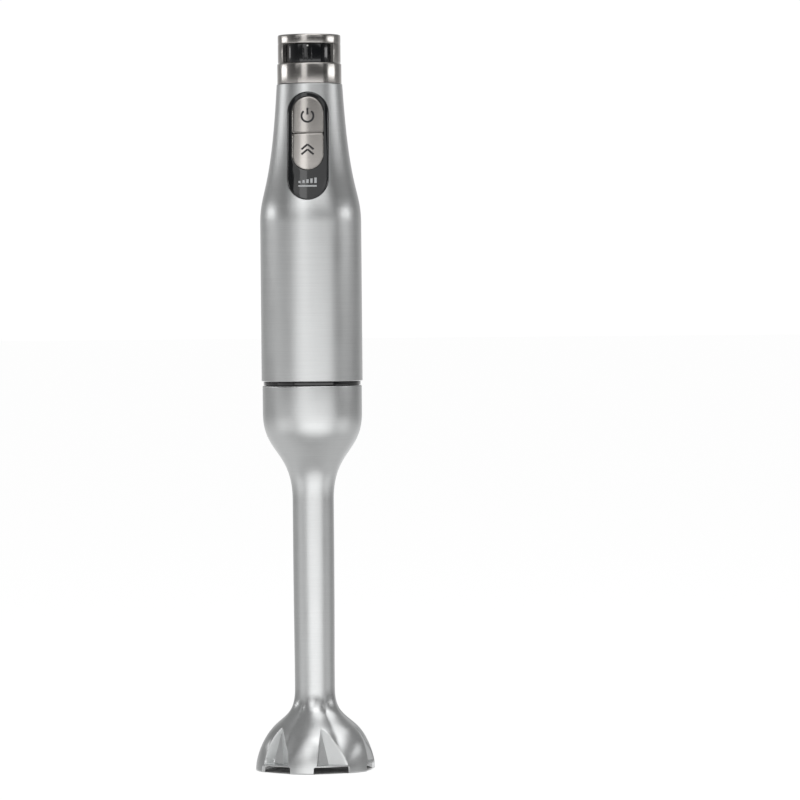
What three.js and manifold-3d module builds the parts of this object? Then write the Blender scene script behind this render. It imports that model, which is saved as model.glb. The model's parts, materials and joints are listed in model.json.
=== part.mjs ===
// Immersion blender with a rotary speed knob, two push buttons and a twist-off leg.
// Millimetres, +Z up, the control panel faces -Y. The origin is the centre of the foot's resting plane.
// Every sub-part is one closed solid in a named mesh. Neighbours keep a small gap, so no two overlap.

import * as THREE from 'three';
import { mergeVertices } from 'three/addons/utils/BufferGeometryUtils.js';
import Module from 'manifold-3d';

const wasm = await Module();
wasm.setup();

// ---------------------------------------------------------------- driving dimensions
const GAP = 0.3; // between neighbours that rest on each other
const RUNNING_GAP = 0.15; // between a turning shaft and its bush
const SHELL_SIDES = 28; // facets around the large shells
const PART_SIDES = 16; // facets around the small parts
const CURVE_STEPS = 7; // facets along each curved outline
const COARSE_STEPS = 4; // the same along hidden outlines

const HEIGHT = 410;
const SHEET = 1.0; // steel wall of the sleeve and leg

// Handle, from the leg seam up.
const SLEEVE = { bottom: 217.2, top: 382.5, r: 28.2 };
const SHOULDER = [[304.6, 28.2], [324.9, 28.2], [319.8, 22.0], [382.5, 18.3]]; // z, r of a Bezier curve
const COLLAR = { bottom: 382.8, top: 394.0, r: 17.9, wall: 1.2, hole: 3.8, chamfer: 0.6 };
const KNOB = { bottom: 394.4, coreTop: 404.7, r: 17.5, coreR: 14.8, grip: 37, chamfer: 1.0 };
const SPINDLE = { r: 2.8, bottom: 372, top: 404.2 };

// Control panel: stadium outlines given by half width and the heights of their ends.
const BEZEL = { half: 11.4, low: 317.8, high: 377.7, proud: 0.5, seat: 1.4, rear: 3.8, rim: 1.7 };
const BUTTONS = { half: 8.85, low: 334.3, split: 354.8, high: 375.2, proud: 0.9, rear: 2.6, travel: 1.2 };
const STEM = { r: 1.6, powerZ: 363.9, powerFront: 17.6, turboZ: 345.6, turboFront: 20 };
const MEMBRANE = { thick: 0.8, overlap: 1.4, holeR: 2.1 };
const SWITCH = { size: 6, front: 13.4, tip: 14.2, tipR: 1.6 };
const BOARD = { half: 8.5, front: 9.6, rear: 8.0, low: 322, high: 369 };
const CAPACITOR = { r: 5, z: 327.5, length: 4 };
const POTENTIOMETER = { r: 9, low: 363, top: 372.5, neckR: 5, neckTop: 379 };
const GLAND = { z: 352, r: 4.6, bore: 3.4, inner: 12, outer: 24.6, flangeR: 6.6, flangeThick: 2.5 };

// Quick thread between the handle and the leg: three right-hand starts.
const THREAD = { starts: 3, lead: 48, lugR: 19.6, lugHalf: 6, low: 220.5, high: 223.5, gap: 0.4, phase: 55 };
const GROOVE = { from: -64, side: 1.5 };
const SOCKET = { bottom: 217.5, floor: 230, top: 233, r: 26.8, bore: 17.6, floorHole: 9.5 };
const NECK = { r: 17.2, bore: 9.5, top: 226, low: 200, lowR: 13 };
const FLANGE = { r: 26.2, low: 209, top: 214.6 };
const NECK_SEAT = { r: 7.4, top: 212, bushLow: 200.5, bushHigh: 208.5, sealLow: 208.9, sealHigh: 211.8 };
const SEAM = { inner: 19.5, r: 27.1 };
const SOCKET_SCREW = { pitchR: 23.2, offset: 35, r: 1.2, headR: 2.1, sink: 1, head: 1.6, tip: 243, boss: 2.7 };

// Chassis inside the sleeve, split into a front and a rear half.
const CHASSIS = { inset: 1.7, skin: 1.8, low: 233.4, top: 381, neckR: 16.3, neckWall: 3, neckTop: 392.2 };
const CHASSIS_SCREWS = [{ x: 21.6, z: 256 }, { x: 14.0, z: 350 }];
const SCREW = { r: 1.2, headR: 2.1, front: -8, headFront: 6.3, back: 8 };
const SCREW_BOSS = { r: 3.1, front: -12, holeR: 1.5, holeFront: -9, headHoleR: 2.4, headHoleFront: 6 };

// Motor and its rotor.
const MOTOR = { r: 18, wall: 1.2, low: 262, high: 312, shaftR: 2.5, shaftLow: 228.6, shaftHigh: 322 };
const MAGNET = { inner: 13.7, half: 62, low: 267, high: 303 };
const LOWER_BELL = { seat: 3, floor: 2.5, hole: 3.6, footR: 13 };
const BEARING = { r: 8, high: 263.5 };
const UPPER_BELL = { inner: 9, shoulder: 5, rise: 4, seatR: 5.6, seat: 2 };
const UPPER_BUSH = { r: 5.3, low: 316, high: 320.6 };
const BRUSH = { inner: 6.4, outer: 12.4, halfWidth: 2, halfHeight: 1.8, z: 309.2 };
const HOLDER = { inner: 8.4, outer: 16.2, wall: 0.7, back: 0.4 };
const SPRING = { turns: 3, coilR: 1.3, wireR: 0.25, inner: 12.9, outer: 15.4 };
const ARMATURE = { r: 13.2, low: 271, high: 299, slots: 8, slotR: 9, slotHalf: 0.8 };
const WINDING = { inner: 5, faceR: 10.4, r: 12.4, bevel: 1.4, low: 265.2, high: 304.4 };
const COMMUTATOR = { r: 6.1, low: 304.8, high: 312.4 };
const FAN = { r: 17, low: 243, plate: 247.5, high: 248.7, hubR: 5, bladeR: 16.4, bladeHalf: 0.6, blades: 7 };

// Two dogs under the motor shaft push two wings on the drive shaft, with 110 degrees of free play. At rest
// the wings stand just clockwise of the dogs, seen from above, so the leg can turn off clockwise.
const DOG = { half: 17.5, inner: 3.9, outer: 7.6, low: 221, hubLow: 228, rim: 2, hubR: 6.5, hubTop: 240 };
const WING = { low: 216.4, top: 226.6, inner: 2.5, outer: 7.3, bossR: 3.5, bridge: 1.5, angle: -40 };

// Leg, foot and blade.
const LEG = { top: 214.7, bottom: 46.4, topR: 27.7, tubeR: 11.5 };
const LEG_CONE = [[199.4, 27.7], [176.7, 27.7], [178.3, 11.5], [150.8, 11.5]];
const FOOT = { top: 46.1, ribs: 6, ribAngle: -10, cavityR: 25.6, hubR: 8.4, hubLow: 22 };
const FOOT_NECK = { bore: 10.2, low: 40 };
const BELL = [[46.1, 11.2], [22.0, 11.2], [33.3, 31.6], [0, 33.8]];
const CAVITY = [[6, 25.6], [17, 25.6], [24.5, 17], [25.5, 8.4]];
const POCKET = { depth: 26.6, innerHalf: 5.2, reach: 40, outerHalf: 14.4, low: 4.6, high: 22 };
const NOTCH = { inner: 20, half: 8.9, high: 3.8 };
const FOOT_SEAT = { r: 7.0, sealHigh: 25.6, bushLow: 26, bushHigh: 39.7 };
const DRIVE_SHAFT = { r: 4.0, low: 7.0, top: 219 };
const BLADE = { reach: 21, width: 9, thick: 1.5, z: 11.5, turn: 25, tiltUp: 16, tiltDown: 9.6, hubR: 6.2 };
const BLADE_COLLAR = { r: 5.6, above: 2.4, height: 3.5 };
const BLADE_NUT = { tipR: 4.6, r: 6.4, low: 5.4, shoulder: 6.6, below: 1.2 };

const RAD = Math.PI / 180;

// ---------------------------------------------------------------- finishes
const FINISHES = {
  satinSteel: { color: 0xc4c7c8, roughness: 0.36, metalness: 1 },
  warmSteel: { color: 0xaaa49c, roughness: 0.3, metalness: 1 },
  plainSteel: { color: 0xa8abae, roughness: 0.4, metalness: 1 },
  glossBlack: { color: 0x0b0c0e, roughness: 0.12, metalness: 0 },
  mattBlack: { color: 0x1b1c1e, roughness: 0.6, metalness: 0 },
  greyPlastic: { color: 0x4a4d50, roughness: 0.55, metalness: 0 },
  whitePlastic: { color: 0xd8d6cf, roughness: 0.5, metalness: 0 },
  rubber: { color: 0x151515, roughness: 0.85, metalness: 0 },
  copper: { color: 0xb5622c, roughness: 0.35, metalness: 1 },
  brass: { color: 0xb9954a, roughness: 0.35, metalness: 1 },
  ferrite: { color: 0x37383a, roughness: 0.8, metalness: 0 },
  board: { color: 0x1f5a38, roughness: 0.55, metalness: 0 },
};

const group = new THREE.Group();

function addPart(name, solid, finish) {
  const material = new THREE.MeshStandardMaterial(FINISHES[finish]);
  const mesh = new THREE.Mesh(geometryOf(solid), material);
  mesh.name = name;
  group.add(mesh);
}

// ---------------------------------------------------------------- solids
// Turns a closed three.js geometry into a solid, with its faces pointing out.
function solidOf(geometry) {
  const bare = geometry.clone();
  bare.deleteAttribute('normal');
  bare.deleteAttribute('uv');
  const merged = mergeVertices(bare, 1e-4);
  const at = merged.attributes.position.array;
  const index = merged.index.array;
  const faces = [];
  let volume = 0;
  const a = new THREE.Vector3();
  const b = new THREE.Vector3();
  const c = new THREE.Vector3();
  for (let i = 0; i < index.length; i += 3) {
    const [p, q, r] = [index[i], index[i + 1], index[i + 2]];
    if (p === q || q === r || r === p) continue;
    faces.push([p, q, r]);
    volume += a.fromArray(at, 3 * p).dot(b.fromArray(at, 3 * q).cross(c.fromArray(at, 3 * r)));
  }
  const outward = volume > 0 ? faces : faces.map(([p, q, r]) => [p, r, q]);
  const mesh = new wasm.Mesh({
    numProp: 3,
    vertProperties: Float32Array.from(at),
    triVerts: Uint32Array.from(outward.flat()),
  });
  return new wasm.Manifold(mesh);
}

function geometryOf(solid) {
  const mesh = solid.getMesh();
  const geometry = new THREE.BufferGeometry();
  geometry.setAttribute('position', new THREE.BufferAttribute(Float32Array.from(mesh.vertProperties), 3));
  geometry.setIndex(new THREE.BufferAttribute(Uint32Array.from(mesh.triVerts), 1));
  geometry.computeVertexNormals();
  return geometry;
}

const join = (...solids) => solids.reduce((whole, piece) => whole.add(piece));
const cut = (solid, ...tools) => tools.reduce((whole, tool) => whole.subtract(tool), solid);

// A closed outline of [r, z] points, turned about the Z axis.
function turned(outline, sides = PART_SIDES) {
  const loop = [...outline, outline[0]].map(([r, z]) => new THREE.Vector2(r, z));
  const geometry = new THREE.LatheGeometry(loop, sides);
  geometry.rotateX(Math.PI / 2);
  return solidOf(geometry);
}

const disc = (r, low, high, sides) => turned([[0, low], [r, low], [r, high], [0, high]], sides);
const ring = (bore, r, low, high, sides) => turned([[bore, low], [r, low], [r, high], [bore, high]], sides);

// Points [r, z] along a Bezier curve whose control points are given as [z, r].
function curvePoints(controls, steps) {
  const [p0, p1, p2, p3] = controls.map(([z, r]) => new THREE.Vector2(r, z));
  return new THREE.CubicBezierCurve(p0, p1, p2, p3).getPoints(steps).map((p) => [p.x, p.y]);
}

function block(x, y, z) {
  const geometry = new THREE.BoxGeometry(x[1] - x[0], y[1] - y[0], z[1] - z[0]);
  geometry.translate((x[0] + x[1]) / 2, (y[0] + y[1]) / 2, (z[0] + z[1]) / 2);
  return solidOf(geometry);
}

// An outline drawn in X and height, extruded from y0 to y1.
function panelSolid(shape, y0, y1, curveSegments = 7) {
  const geometry = new THREE.ExtrudeGeometry(shape, { depth: y1 - y0, bevelEnabled: false, curveSegments });
  geometry.rotateX(Math.PI / 2);
  geometry.translate(0, y1, 0);
  return solidOf(geometry);
}

// A flat outline in X and Y, extruded from z0 to z1.
function plateSolid(shape, z0, z1, curveSegments = 6) {
  const geometry = new THREE.ExtrudeGeometry(shape, { depth: z1 - z0, bevelEnabled: false, curveSegments });
  geometry.translate(0, 0, z0);
  return solidOf(geometry);
}

function stadium(half, low, high) {
  const shape = new THREE.Shape();
  shape.moveTo(half, low + half);
  shape.lineTo(half, high - half);
  shape.absarc(0, high - half, half, 0, Math.PI, false);
  shape.lineTo(-half, low + half);
  shape.absarc(0, low + half, half, Math.PI, 2 * Math.PI, false);
  return shape;
}

// A sector of a ring between two radii; angles in degrees from +X, counterclockwise from above.
function sector(inner, outer, from, to) {
  const shape = new THREE.Shape();
  shape.absarc(0, 0, outer, from * RAD, to * RAD, false);
  shape.absarc(0, 0, inner, to * RAD, from * RAD, true);
  return shape;
}

// A cylinder along Y at [x, z], from y0 to y1.
function rodAlongY(r, x, z, y0, y1, sides = 12) {
  const geometry = new THREE.CylinderGeometry(r, r, y1 - y0, sides);
  geometry.translate(x, (y0 + y1) / 2, z);
  return solidOf(geometry);
}

// A cylinder along Z at [x, y], from z0 to z1.
function rodAlongZ(r, x, y, z0, z1, sides = 12) {
  const geometry = new THREE.CylinderGeometry(r, r, z1 - z0, sides);
  geometry.rotateX(Math.PI / 2);
  geometry.translate(x, y, (z0 + z1) / 2);
  return solidOf(geometry);
}

const turnedBy = (solid, degrees) => solid.rotate([0, 0, degrees]);

// A ring sector whose height climbs with its angle, as a thread does.
function threadSector(inner, outer, from, to, low, high, lead) {
  const geometry = new THREE.ExtrudeGeometry(sector(inner, outer, from, to), {
    depth: high - low,
    bevelEnabled: false,
    curveSegments: Math.max(2, Math.round((to - from) / 6)),
  });
  const at = geometry.attributes.position;
  for (let i = 0; i < at.count; i += 1) {
    const angle = Math.atan2(at.getY(i), at.getX(i)) / RAD;
    at.setZ(i, at.getZ(i) + low + (lead * angle) / 360);
  }
  return solidOf(geometry);
}

// ---------------------------------------------------------------- handle outline
// Outer outline of the sleeve, moved inwards by an inset, from one height to another.
function sleeveOutline(inset, low, high, steps = CURVE_STEPS) {
  const shoulder = curvePoints(SHOULDER, steps);
  const points = [[SLEEVE.r, SLEEVE.bottom], ...shoulder];
  const heights = points.map((p) => p[1]);
  const radii = points.map((p) => p[0]);
  const radiusAt = (z) => {
    const i = Math.max(1, heights.findIndex((h) => h >= z));
    const t = (z - heights[i - 1]) / (heights[i] - heights[i - 1]);
    return radii[i - 1] + t * (radii[i] - radii[i - 1]);
  };
  const between = points.filter(([, z]) => z > low + 0.5 && z < high - 0.5);
  return [[radiusAt(low), low], ...between, [radiusAt(high), high]].map(([r, z]) => [r - inset, z]);
}

// A shell that follows the sleeve between two insets.
function sleeveShell(outerInset, innerInset, low, high) {
  const outer = sleeveOutline(outerInset, low, high);
  const inner = sleeveOutline(innerInset, low, high).reverse();
  return turned([...outer, ...inner], SHELL_SIDES);
}

const FRONT = [-40, -4];
const frontPanel = (half, low, high) => panelSolid(stadium(half, low, high), ...FRONT);

// The opening for the control panel and the hole for the cord gland, in the sleeve and the chassis.
const panelWindow = () => frontPanel(BEZEL.half + GAP, BEZEL.low - GAP, BEZEL.high + GAP);
const glandHole = () => rodAlongY(GLAND.r + GAP, 0, GLAND.z, 4, 40);

// ---------------------------------------------------------------- handle shells
function makeSleeve() {
  const shell = sleeveShell(0, SHEET, SLEEVE.bottom, SLEEVE.top);
  addPart('handle_sleeve', cut(shell, panelWindow(), glandHole()), 'satinSteel');
}

function makeCollar() {
  const { bottom, top, r, wall, hole, chamfer } = COLLAR;
  const outline = [
    [r - wall, bottom], [r, bottom], [r, top - chamfer], [r - chamfer, top],
    [hole, top], [hole, top - wall], [r - wall, top - wall],
  ];
  addPart('top_collar', turned(outline, SHELL_SIDES), 'warmSteel');
}

function chassisShell() {
  const { inset, skin, low, top, neckR, neckWall, neckTop } = CHASSIS;
  const outer = sleeveOutline(inset, low, top, COARSE_STEPS);
  const inner = sleeveOutline(inset + skin, low, top, COARSE_STEPS).reverse();
  const neckBore = neckR - neckWall;
  const neck = [[neckR, top], [neckR, neckTop], [neckBore, neckTop], [neckBore, top]];
  return turned([...outer, ...neck, ...inner], SHELL_SIDES);
}

function aroundAxis(radius, degrees) {
  return [radius * Math.cos(degrees * RAD), radius * Math.sin(degrees * RAD)];
}

// Angles of the thread's starts, and of the three socket screws between their grooves.
const threadAngles = Array.from({ length: THREAD.starts }, (unused, i) => (
  THREAD.phase + (360 / THREAD.starts) * i
));
const socketScrewAngles = threadAngles.map((angle) => angle + SOCKET_SCREW.offset);

// Bosses and holes for the screws that hold the chassis halves together.
function chassisScrewBosses(envelope) {
  const { r, front, holeR, holeFront, headHoleR, headHoleFront } = SCREW_BOSS;
  const bosses = [];
  const holes = [];
  for (const { x, z } of CHASSIS_SCREWS) {
    for (const side of [-1, 1]) {
      bosses.push(rodAlongY(r, side * x, z, front, SLEEVE.r));
      holes.push(rodAlongY(holeR, side * x, z, holeFront, SLEEVE.r));
      holes.push(rodAlongY(headHoleR, side * x, z, headHoleFront, SLEEVE.r));
    }
  }
  return [join(...bosses).intersect(envelope), holes];
}

function makeChassis() {
  const { inset, low, top } = CHASSIS;
  let whole = chassisShell();
  for (const angle of socketScrewAngles) {
    const [x, y] = aroundAxis(SOCKET_SCREW.pitchR, angle);
    const boss = rodAlongZ(SOCKET_SCREW.boss, x, y, low, SOCKET_SCREW.tip + 2);
    const hole = rodAlongZ(SOCKET_SCREW.r + GAP, x, y, low - 1, SOCKET_SCREW.tip + GAP);
    whole = cut(join(whole, boss), hole);
  }
  const outside = sleeveOutline(inset, low, top, COARSE_STEPS);
  const envelope = turned([[0, low], ...outside, [0, top]], SHELL_SIDES);
  const [bosses, holes] = chassisScrewBosses(envelope);
  whole = cut(join(whole, bosses), ...holes);
  const front = whole.trimByPlane([0, -1, 0], GAP / 2);
  const rear = whole.trimByPlane([0, 1, 0], GAP / 2);
  addPart('chassis_front', cut(front, panelWindow()), 'greyPlastic');
  addPart('chassis_rear', cut(rear, glandHole()), 'greyPlastic');
}

function makeChassisScrews() {
  const places = ['lower', 'upper'];
  CHASSIS_SCREWS.forEach(({ x, z }, i) => {
    for (const [word, side] of [['left', -1], ['right', 1]]) {
      const shank = rodAlongY(SCREW.r, side * x, z, SCREW.front, SCREW.headFront + 0.5);
      const head = rodAlongY(SCREW.headR, side * x, z, SCREW.headFront, SCREW.back);
      addPart(`chassis_screw_${places[i]}_${word}`, join(shank, head), 'plainSteel');
    }
  });
}

function makeGland() {
  const { z, r, bore, inner, outer, flangeR, flangeThick } = GLAND;
  const body = rodAlongY(r, 0, z, inner, outer, 20);
  const flange = rodAlongY(flangeR, 0, z, inner, inner + flangeThick, 20);
  const hole = rodAlongY(bore, 0, z, inner - 1, outer + 1, 20);
  addPart('cord_gland', cut(join(body, flange), hole), 'rubber');
}

// ---------------------------------------------------------------- control panel
// A plate that follows the sleeve, with an outline grown from the buttons' own.
function plateAround(outerInset, innerInset, grow) {
  const outline = frontPanel(BUTTONS.half + grow, BUTTONS.low - grow, BUTTONS.high + grow);
  return sleeveShell(outerInset, innerInset, BEZEL.low - 4, SLEEVE.top).intersect(outline);
}

function makeBezel() {
  const plate = sleeveShell(-BEZEL.proud, BEZEL.seat, BEZEL.low - 4, SLEEVE.top)
    .intersect(frontPanel(BEZEL.half, BEZEL.low, BEZEL.high));
  const rim = plateAround(0, BEZEL.rear, BEZEL.rim);
  const opening = frontPanel(BUTTONS.half + GAP, BUTTONS.low - GAP, BUTTONS.high + GAP);
  addPart('control_bezel', cut(join(plate, rim), opening), 'glossBlack');
}

function makeButtons() {
  const keys = plateAround(-BUTTONS.proud, BUTTONS.rear, 0);
  const stemEnd = -(SWITCH.tip + BUTTONS.travel + GAP);
  const upper = keys.trimByPlane([0, 0, 1], BUTTONS.split + GAP / 2);
  const lower = keys.trimByPlane([0, 0, -1], -(BUTTONS.split - GAP / 2));
  const powerStem = rodAlongY(STEM.r, 0, STEM.powerZ, -STEM.powerFront, stemEnd);
  const turboStem = rodAlongY(STEM.r, 0, STEM.turboZ, -STEM.turboFront, stemEnd);
  addPart('power_button', join(upper, powerStem), 'warmSteel');
  addPart('turbo_button', join(lower, turboStem), 'warmSteel');
}

function makeMembrane() {
  const front = BUTTONS.rear + BUTTONS.travel + GAP;
  const sheet = plateAround(front, front + MEMBRANE.thick, MEMBRANE.overlap);
  const holes = [STEM.powerZ, STEM.turboZ].map((z) => rodAlongY(MEMBRANE.holeR, 0, z, -30, -4, 16));
  addPart('button_membrane', cut(sheet, ...holes), 'rubber');
}

function makeBoard() {
  const { half, front, rear, low, high } = BOARD;
  addPart('control_board', block([-half, half], [-front, -rear], [low, high]), 'board');
  const reach = SWITCH.size / 2;
  for (const [name, z] of [['power_switch', STEM.powerZ], ['turbo_switch', STEM.turboZ]]) {
    const body = block([-reach, reach], [-SWITCH.front, -front - GAP], [z - reach, z + reach]);
    const tip = rodAlongY(SWITCH.tipR, 0, z, -SWITCH.tip, -SWITCH.front + 0.5);
    addPart(name, join(body, tip), 'mattBlack');
  }
  const back = -front - GAP;
  const capacitor = rodAlongY(CAPACITOR.r, 0, CAPACITOR.z, back - CAPACITOR.length, back, 16);
  addPart('suppression_capacitor', capacitor, 'brass');
}

// ---------------------------------------------------------------- speed knob
function makeKnob() {
  const { bottom, coreTop, r, coreR, grip, chamfer } = KNOB;
  addPart('knob_core', ring(SPINDLE.r + GAP, coreR, bottom, coreTop, SHELL_SIDES), 'glossBlack');
  const capLow = coreTop + GAP;
  const cap = [[0, capLow], [r, capLow], [r, HEIGHT - chamfer], [r - chamfer, HEIGHT], [0, HEIGHT]];
  addPart('knob_cap', turned(cap, SHELL_SIDES), 'warmSteel');
  for (const [word, middle] of [['right', 0], ['left', 180]]) {
    const shape = sector(coreR + GAP, r, middle - grip, middle + grip);
    addPart(`knob_grip_${word}`, plateSolid(shape, bottom, coreTop, 12), 'warmSteel');
  }
  addPart('knob_spindle', disc(SPINDLE.r, SPINDLE.bottom, SPINDLE.top, 20), 'plainSteel');
}

// The potentiometer stands on the spindle's end, and its front is cut flat to clear the board.
function makePotentiometer() {
  const { r, low, top, neckR, neckTop } = POTENTIOMETER;
  const bore = SPINDLE.r + GAP;
  const floor = SPINDLE.bottom - GAP;
  const body = turned([
    [0, low], [r, low], [r, top], [neckR, top], [neckR, neckTop], [bore, neckTop], [bore, floor], [0, floor],
  ]);
  const boardSpace = block([-r - 1, r + 1], [-r - 1, -(BOARD.rear - GAP)], [low - 1, top + 1]);
  addPart('speed_potentiometer', cut(body, boardSpace), 'mattBlack');
}

// ---------------------------------------------------------------- motor
function makeMotor() {
  const { r, wall, low, high, shaftR } = MOTOR;
  const bore = shaftR + RUNNING_GAP;
  addPart('motor_can', ring(r - wall, r, low, high, SHELL_SIDES), 'plainSteel');
  for (const [word, middle] of [['right', 0], ['left', 180]]) {
    const shape = sector(MAGNET.inner, r - wall - GAP, middle - MAGNET.half, middle + MAGNET.half);
    addPart(`magnet_${word}`, plateSolid(shape, MAGNET.low, MAGNET.high, 10), 'ferrite');
  }
  const seatR = BEARING.r + GAP;
  const seatLow = low - LOWER_BELL.seat;
  const footLow = seatLow - LOWER_BELL.floor;
  addPart('motor_lower_bell', turned([
    [seatR, low - GAP], [seatR, seatLow], [LOWER_BELL.hole, seatLow], [LOWER_BELL.hole, footLow],
    [LOWER_BELL.footR, footLow], [r, seatLow], [r, low - GAP],
  ]), 'plainSteel');
  addPart('lower_bearing', ring(bore, BEARING.r, seatLow + GAP, BEARING.high), 'plainSteel');
  const { inner, shoulder, rise, seatR: bushSeatR, seat } = UPPER_BELL;
  const bellTop = high + shoulder + rise;
  addPart('motor_upper_bell', turned([
    [inner, high + GAP], [r, high + GAP], [r, high + shoulder], [inner, bellTop], [bushSeatR, bellTop],
    [bushSeatR, bellTop - seat], [inner, high + shoulder],
  ]), 'whitePlastic');
  addPart('upper_bush', ring(bore, UPPER_BUSH.r, UPPER_BUSH.low, UPPER_BUSH.high), 'brass');
}

// A compression spring along X, as a helix of square wire.
function brushSpring(side) {
  const { turns, coilR, wireR, inner, outer } = SPRING;
  const helix = new THREE.Curve();
  helix.getPoint = (t) => {
    const angle = 2 * Math.PI * turns * t;
    const x = side * (inner + (outer - inner) * t);
    return new THREE.Vector3(x, coilR * Math.cos(angle), BRUSH.z + coilR * Math.sin(angle));
  };
  const corners = [[wireR, 0], [0, wireR], [-wireR, 0], [0, -wireR]];
  const wire = new THREE.Shape(corners.map(([x, y]) => new THREE.Vector2(x, y)));
  const settings = { steps: 8 * turns, bevelEnabled: false, extrudePath: helix };
  return solidOf(new THREE.ExtrudeGeometry(wire, settings));
}

// A block on one side of the shaft, from one distance to another, around the brushes' height.
function brushBlock(side, from, to, halfWidth, halfHeight) {
  const x = [Math.min(side * from, side * to), Math.max(side * from, side * to)];
  return block(x, [-halfWidth, halfWidth], [BRUSH.z - halfHeight, BRUSH.z + halfHeight]);
}

function makeBrushes() {
  const { inner, outer, halfWidth, halfHeight } = BRUSH;
  const bore = [halfWidth + GAP, halfHeight + GAP];
  const around = bore.map((half) => half + HOLDER.wall);
  for (const [word, side] of [['right', 1], ['left', -1]]) {
    const tube = brushBlock(side, HOLDER.inner, HOLDER.outer, ...around);
    const hollow = brushBlock(side, HOLDER.inner - 1, HOLDER.outer - HOLDER.back, ...bore);
    addPart(`carbon_brush_${word}`, brushBlock(side, inner, outer, halfWidth, halfHeight), 'ferrite');
    addPart(`brush_holder_${word}`, cut(tube, hollow), 'brass');
    addPart(`brush_spring_${word}`, brushSpring(side), 'plainSteel');
  }
}

function makeArmature() {
  const { r, low, high, slots, slotR, slotHalf } = ARMATURE;
  const bore = MOTOR.shaftR + GAP;
  addPart('motor_shaft', disc(MOTOR.shaftR, MOTOR.shaftLow, MOTOR.shaftHigh, 20), 'plainSteel');
  const slot = block([slotR, r + 1], [-slotHalf, slotHalf], [low - 1, high + 1]);
  const cuts = Array.from({ length: slots }, (unused, i) => turnedBy(slot, (360 / slots) * i));
  addPart('armature_core', cut(ring(bore, r, low, high), ...cuts), 'plainSteel');
  for (const [word, from, to] of [['lower', WINDING.low, low - GAP], ['upper', high + GAP, WINDING.high]]) {
    const { inner, faceR, bevel } = WINDING;
    addPart(`winding_${word}`, turned([
      [inner, from], [faceR, from], [WINDING.r, from + bevel], [WINDING.r, to - bevel],
      [faceR, to], [inner, to],
    ]), 'copper');
  }
  addPart('commutator', ring(bore, COMMUTATOR.r, COMMUTATOR.low, COMMUTATOR.high), 'copper');
}

function makeFan() {
  const { r, low, plate, high, hubR, bladeR, bladeHalf, blades } = FAN;
  const bore = MOTOR.shaftR + GAP;
  const vane = block([hubR - 0.5, bladeR], [-bladeHalf, bladeHalf], [low, plate + 0.5]);
  const vanes = Array.from({ length: blades }, (unused, i) => turnedBy(vane, (360 / blades) * i));
  const fan = join(ring(bore, r, plate, high), ring(bore, hubR, low, high), ...vanes);
  addPart('cooling_fan', fan, 'whitePlastic');
}

// ---------------------------------------------------------------- drive coupling
function makeDriveCoupling() {
  const { half, inner, outer, low, hubLow, rim, hubR, hubTop } = DOG;
  const hub = turned([
    [0, hubLow], [outer, hubLow], [outer, hubLow + rim], [hubR, hubLow + 2 * rim], [hubR, hubTop], [0, hubTop],
  ]);
  const shaftHole = disc(MOTOR.shaftR + GAP, MOTOR.shaftLow - GAP, hubTop + 1, 20);
  const dogs = [0, 180].map((middle) => (
    plateSolid(sector(inner, outer, middle - half, middle + half), low, hubLow + 1, 5)
  ));
  addPart('drive_coupling', cut(join(hub, ...dogs), shaftHole), 'mattBlack');
}

function makeLegCoupling() {
  const { low, top, inner, outer, bossR, bridge, angle } = WING;
  const bridgeLow = DRIVE_SHAFT.top + GAP;
  const bridgeTop = DRIVE_SHAFT.top + bridge;
  const boss = disc(bossR, bridgeLow, top, 20);
  const collar = ring(DRIVE_SHAFT.r + GAP, outer, low, bridgeTop);
  const cover = disc(outer, bridgeLow, bridgeTop);
  const wings = [angle, angle + 180].map((middle) => (
    plateSolid(sector(inner, outer, middle - DOG.half, middle + DOG.half), bridgeTop - 0.5, top, 5)
  ));
  addPart('leg_coupling', join(collar, cover, boss, ...wings), 'mattBlack');
}

// ---------------------------------------------------------------- leg socket and neck
function makeSocket() {
  const { bottom, floor, top, r, bore, floorHole } = SOCKET;
  const { lead, lugR, lugHalf, low, high, gap } = THREAD;
  let body = turned([
    [bore, bottom], [r, bottom], [r, top], [floorHole, top], [floorHole, floor], [bore, floor],
  ], SHELL_SIDES);
  const grooveEnd = lugHalf + GROOVE.side;
  const groove = threadSector(bore - 1.5, lugR + gap, GROOVE.from, grooveEnd, low - gap, high + gap, lead);
  for (const angle of threadAngles) {
    body = cut(body, turnedBy(groove, angle));
  }
  const { pitchR, r: screwR, headR, sink, head: headHeight } = SOCKET_SCREW;
  const headLow = bottom + sink;
  socketScrewAngles.forEach((angle, i) => {
    const [x, y] = aroundAxis(pitchR, angle);
    const shankHole = rodAlongZ(screwR + GAP, x, y, bottom - 1, top + 1);
    const headHole = rodAlongZ(headR + GAP, x, y, bottom - 1, headLow + headHeight + GAP);
    body = cut(body, shankHole, headHole);
    const head = rodAlongZ(headR, x, y, headLow, headLow + headHeight);
    const shank = rodAlongZ(screwR, x, y, headLow + 0.5, SOCKET_SCREW.tip);
    addPart(`socket_screw_${i + 1}`, join(head, shank), 'plainSteel');
  });
  addPart('leg_socket', body, 'mattBlack');
}

function makeSeam() {
  const seal = ring(SEAM.inner, SEAM.r, LEG.top + GAP, SLEEVE.bottom - GAP, SHELL_SIDES);
  addPart('seam_gasket', seal, 'glossBlack');
}

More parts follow.
